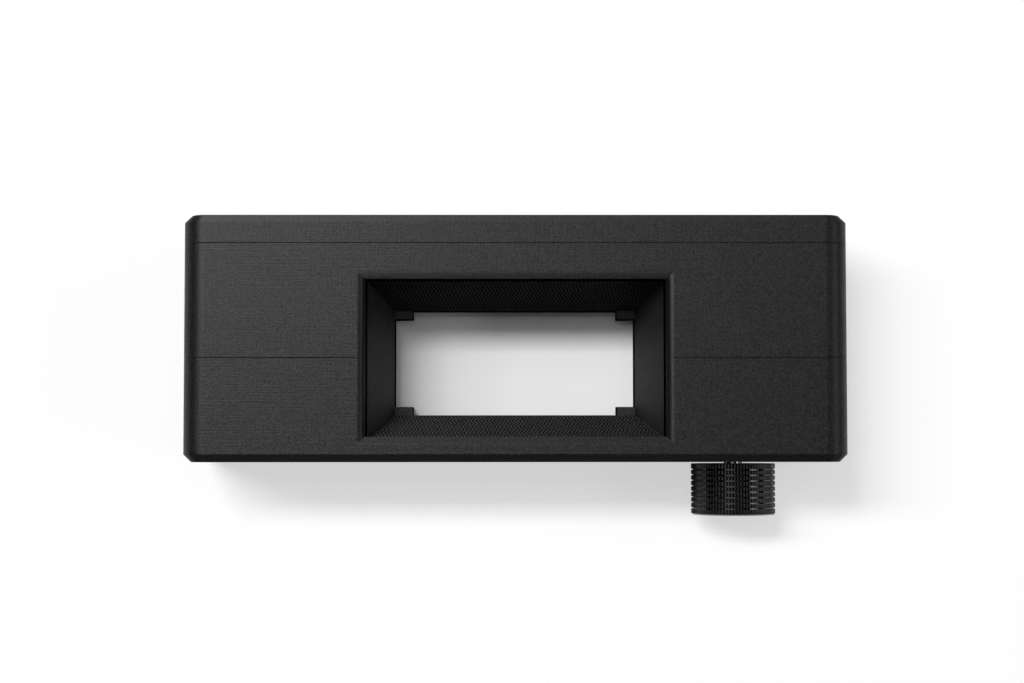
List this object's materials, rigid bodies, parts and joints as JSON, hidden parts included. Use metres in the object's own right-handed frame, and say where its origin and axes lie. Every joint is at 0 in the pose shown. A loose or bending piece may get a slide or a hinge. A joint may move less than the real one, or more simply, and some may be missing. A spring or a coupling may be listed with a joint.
{
  "type": "film holder",
  "caption": "Printed carrier for 35 mm film: a deep flared window over the film gate, and a small toothed knob whose roller draws the strip through a thin channel behind it.",
  "frame": {"origin": "centre of the film gate, in the film plane", "axes": "+X along the film's travel, +Y across the film away from the knob, +Z towards the camera, out of the wide end of the window"},
  "size_m": [0.1742, 0.0794, 0.0456],
  "materials": {
    "print_black": "matte black print with fine layer lines",
    "knob_black": "glossy black with fine moulded teeth",
    "rubber": "dull black rubber",
    "steel": "ground steel",
    "spring_steel": "blued spring steel",
    "bronze": "sintered bronze",
    "brass": "turned brass",
    "white_plastic": "smooth off-white plastic"
  },
  "bodies": {
    "casing": {"lower_body": "print_black", "middle_body": "print_black", "top_cover": "print_black", "drive_bush_lower": "bronze", "drive_bush_upper": "bronze", "follower_bush_lower": "bronze", "follower_bush_upper": "bronze", "timing_belt": "rubber", "spring_right_lower": "spring_steel", "spring_right_upper": "spring_steel", "spring_left_lower": "spring_steel", "spring_left_upper": "spring_steel", "body_screws": "steel", "cover_screws": "steel", "body_inserts": "brass", "cover_inserts": "brass", "body_dowels": "steel", "cover_dowels": "steel"},
    "drive_train": {"knob": "knob_black", "knob_grub_screw": "steel", "drive_shaft": "steel", "drive_roller": "white_plastic", "drive_tyre_lower": "rubber", "drive_tyre_upper": "rubber", "drive_pulley": "white_plastic", "drive_clips": "spring_steel"},
    "follower_train": {"follower_shaft": "steel", "follower_roller": "white_plastic", "follower_tyre_lower": "rubber", "follower_tyre_upper": "rubber", "follower_pulley": "white_plastic", "follower_clips": "spring_steel"},
    "right_pinch_axle": {"pinch_axle_right": "steel"},
    "right_pinch_roller": {"pinch_roller_right": "rubber"},
    "left_pinch_axle": {"pinch_axle_left": "steel"},
    "left_pinch_roller": {"pinch_roller_left": "rubber"}
  },
  "joints": [
    {"name": "drive_spin", "type": "hinge", "parent": "casing", "child": "drive_train", "pos_m": [0.06, 0, 0.00655], "axis": [0, 1, 0], "continuous": true},
    {"name": "follower_spin", "type": "hinge", "parent": "casing", "child": "follower_train", "pos_m": [-0.06, 0, 0.00655], "axis": [0, 1, 0], "continuous": true},
    {"name": "pinch_right_lift", "type": "slide", "parent": "casing", "child": "right_pinch_axle", "axis": [0, 0, 1], "range_m": [-0.0003, 0], "stiffness_N_per_m": 600, "springref_m": 0.0006, "deforming": ["spring_right_lower", "spring_right_upper"]},
    {"name": "pinch_left_lift", "type": "slide", "parent": "casing", "child": "left_pinch_axle", "axis": [0, 0, 1], "range_m": [-0.0003, 0], "stiffness_N_per_m": 600, "springref_m": 0.0006, "deforming": ["spring_left_lower", "spring_left_upper"]},
    {"name": "pinch_right_spin", "type": "hinge", "parent": "right_pinch_axle", "child": "right_pinch_roller", "pos_m": [0.06, 0, -0.00255], "axis": [0, 1, 0], "continuous": true},
    {"name": "pinch_left_spin", "type": "hinge", "parent": "left_pinch_axle", "child": "left_pinch_roller", "pos_m": [-0.06, 0, -0.00255], "axis": [0, 1, 0], "continuous": true}
  ],
  "couplings": [
    {"joint": "follower_spin", "follows": "drive_spin", "ratio": 1},
    {"joint": "pinch_right_spin", "follows": "drive_spin", "ratio": -2.6},
    {"joint": "pinch_left_spin", "follows": "drive_spin", "ratio": -2.6}
  ]
}
